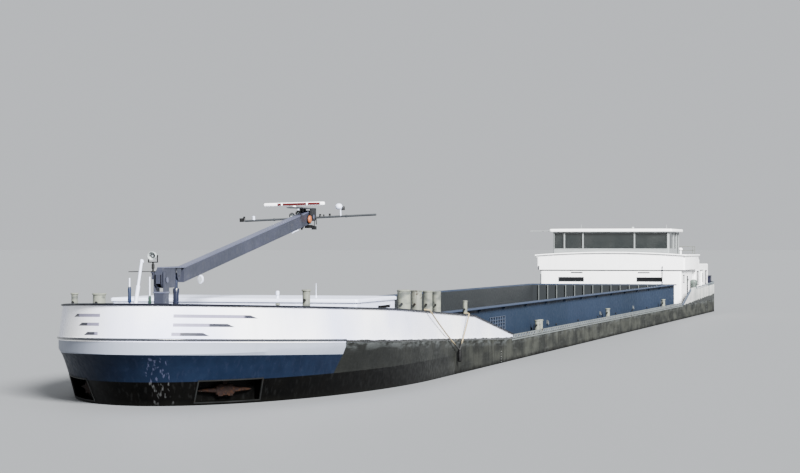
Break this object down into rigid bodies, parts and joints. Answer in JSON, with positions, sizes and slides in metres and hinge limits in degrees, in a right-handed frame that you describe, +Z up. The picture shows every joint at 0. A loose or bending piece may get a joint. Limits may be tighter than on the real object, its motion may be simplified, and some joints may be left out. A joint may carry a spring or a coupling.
{
  "type": "river barge, 1:10 scale model",
  "caption": "Self-propelled dry cargo river barge, 1:10 model: open hold with coamings, folding radar mast at the bow, lifting wheelhouse and deckhouse at the stern.",
  "frame": {"origin": "centre of the bounding box at the flat bottom of the hull", "axes": "+X to the bow, +Y to port, +Z up"},
  "size_m": [11, 1.188, 0.995],
  "materials": {
    "hull_paint": "weathered",
    "white_paint": "gloss",
    "coaming_paint": "satin",
    "deck_paint": "matte",
    "mast_paint": "satin",
    "navy_paint": "satin",
    "post_paint": "matte",
    "bare_steel": "satin",
    "bronze": "satin",
    "rusty_iron": "rough",
    "glass": "clear",
    "black_rubber": "matte",
    "black_plastic": "matte"
  },
  "bodies": {
    "hull": {"hull_bow": "hull_paint", "hull_midbody": "hull_paint", "hull_stern": "hull_paint", "main_engine": "navy_paint", "propeller_nozzle": "hull_paint", "coaming_port": "coaming_paint", "coaming_starboard": "coaming_paint", "coaming_fore": "coaming_paint", "coaming_aft": "coaming_paint", "bulwark_bow": "white_paint", "bulwark_side_port": "white_paint", "bulwark_side_starboard": "white_paint", "fore_cabin": "white_paint", "windlass": "navy_paint", "mooring_post_1": "post_paint", "mooring_post_2": "post_paint", "mooring_post_3": "post_paint", "mooring_post_4": "post_paint", "anchor_port": "rusty_iron", "anchor_starboard": "rusty_iron", "mast_pedestal": "mast_paint", "mast_cylinder_seat": "mast_paint", "searchlight": "bare_steel", "jackstaff": "white_paint", "deckhouse_walls": "white_paint", "deckhouse_band": "white_paint", "deckhouse_roof": "deck_paint", "lift_guide": "bare_steel", "aft_cabin": "white_paint", "bulwark_stern": "white_paint", "side_vent": "post_paint", "stern_winch": "navy_paint", "fender_port": "black_rubber", "fender_starboard": "black_rubber"},
    "mast": {"mast_boom": "mast_paint"},
    "mast_top": {"mast_head": "mast_paint"},
    "radar": {"radar_scanner": "white_paint"},
    "cylinder_barrel": {"mast_cylinder": "navy_paint"},
    "cylinder_rod": {"mast_cylinder_rod": "bare_steel"},
    "wheelhouse": {"wheelhouse_walls": "white_paint", "wheelhouse_roof": "white_paint", "wheelhouse_glass": "glass", "steering_console": "black_plastic", "helm_chair": "black_plastic", "lift_column": "bare_steel"},
    "wheelhouse_side_door": {"wheelhouse_door": "white_paint"},
    "cabin_door_p": {"cabin_door_port": "white_paint"},
    "cabin_door_s": {"cabin_door_starboard": "white_paint"},
    "propeller": {"propeller": "bronze"},
    "rudder_p": {"rudder_port": "hull_paint"},
    "rudder_s": {"rudder_starboard": "hull_paint"}
  },
  "joints": [
    {"name": "mast_fold", "type": "hinge", "parent": "hull", "child": "mast", "pos_m": [5.185, 0, 0.714], "axis": [0, 1, 0], "range_deg": [-8.5, 40]},
    {"name": "mast_top_level", "type": "hinge", "parent": "mast", "child": "mast_top", "pos_m": [3.607, 0, 0.9407], "axis": [0, 1, 0], "range_deg": [-40.5, 9]},
    {"name": "radar_turn", "type": "hinge", "parent": "mast_top", "child": "radar", "pos_m": [3.771, 0, 0.9777], "axis": [0, 0, 1], "continuous": true},
    {"name": "cylinder_tilt", "type": "hinge", "parent": "hull", "child": "cylinder_barrel", "pos_m": [5.06, 0, 0.545], "axis": [0, 1, 0], "range_deg": [-2.2, 9.6]},
    {"name": "cylinder_stroke", "type": "slide", "parent": "cylinder_barrel", "child": "cylinder_rod", "axis": [-0.0552, 0, 0.9985], "range_m": [-0.0185, 0.086]},
    {"name": "wheelhouse_lift", "type": "slide", "parent": "hull", "child": "wheelhouse", "axis": [0, 0, 1], "range_m": [0, 0.2]},
    {"name": "wheelhouse_door_slide", "type": "slide", "parent": "wheelhouse", "child": "wheelhouse_side_door", "axis": [1, 0, 0], "range_m": [0, 0.09]},
    {"name": "cabin_door_port_slide", "type": "slide", "parent": "hull", "child": "cabin_door_p", "axis": [1, 0, 0], "range_m": [0, 0.08]},
    {"name": "cabin_door_starboard_slide", "type": "slide", "parent": "hull", "child": "cabin_door_s", "axis": [1, 0, 0], "range_m": [0, 0.08]},
    {"name": "propeller_turn", "type": "hinge", "parent": "hull", "child": "propeller", "pos_m": [-4.945, 0, 0.105], "axis": [1, 0, 0], "continuous": true},
    {"name": "rudder_port_turn", "type": "hinge", "parent": "hull", "child": "rudder_p", "pos_m": [-5.13, 0.062, 0.12], "axis": [0, 0, 1], "range_deg": [-45, 45]},
    {"name": "rudder_starboard_turn", "type": "hinge", "parent": "hull", "child": "rudder_s", "pos_m": [-5.13, -0.062, 0.12], "axis": [0, 0, 1], "range_deg": [-45, 45]}
  ],
  "couplings": [
    {"joint": "mast_top_level", "follows": "mast_fold", "ratio": -1},
    {"joint": "cylinder_tilt", "follows": "mast_fold", "ratio": 0.2368},
    {"joint": "cylinder_stroke", "follows": "mast_fold", "m_per_rad": 0.1222},
    {"joint": "rudder_starboard_turn", "follows": "rudder_port_turn", "ratio": 1}
  ]
}
